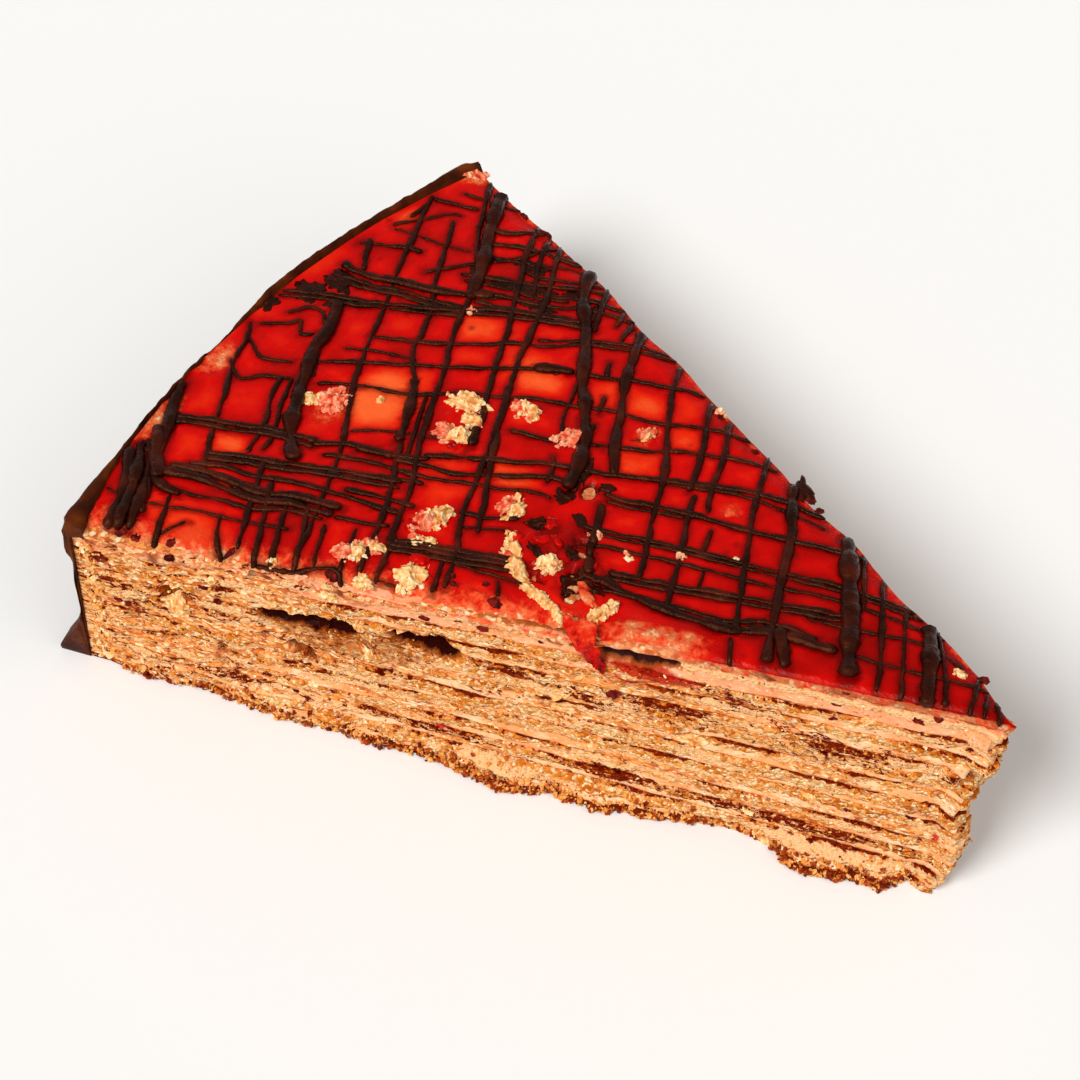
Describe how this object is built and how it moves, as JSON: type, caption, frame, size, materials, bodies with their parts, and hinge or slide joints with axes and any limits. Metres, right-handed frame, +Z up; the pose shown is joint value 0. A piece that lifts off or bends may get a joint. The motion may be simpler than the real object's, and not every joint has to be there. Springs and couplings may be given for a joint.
{
  "type": "raspberry spartak cake slice",
  "caption": "Wedge of layered honey biscuit cake with raspberry glaze, a net of chocolate threads, crumbs and a chocolate-coated rim.",
  "frame": {"origin": "centre of the bounding box, on the surface that the slice stands on", "axes": "+X along the slice's middle line towards its tip, +Z up, the more broken cut side towards -Y"},
  "size_m": [0.1285, 0.0905, 0.0409],
  "materials": {
    "biscuit": "open, crumbly baked honey biscuit, matte",
    "cream": "soft pale raspberry butter cream, satin",
    "glaze": "set raspberry glaze, wet gloss, with satin chocolate threads on it",
    "chocolate": "dark chocolate coat, satin"
  },
  "bodies": {
    "root": {"biscuit_01": "biscuit", "biscuit_02": "biscuit", "biscuit_03": "biscuit", "biscuit_04": "biscuit", "biscuit_05": "biscuit", "biscuit_06": "biscuit", "biscuit_07": "biscuit", "biscuit_08": "biscuit", "biscuit_09": "biscuit", "biscuit_10": "biscuit", "biscuit_11": "biscuit", "biscuit_12": "biscuit", "cream_01": "cream", "cream_02": "cream", "cream_03": "cream", "cream_04": "cream", "cream_05": "cream", "cream_06": "cream", "cream_07": "cream", "cream_08": "cream", "cream_09": "cream", "cream_10": "cream", "cream_11": "cream", "cream_12": "cream", "raspberry_glaze": "glaze", "chocolate_side": "chocolate"}
  },
  "joints": []
}
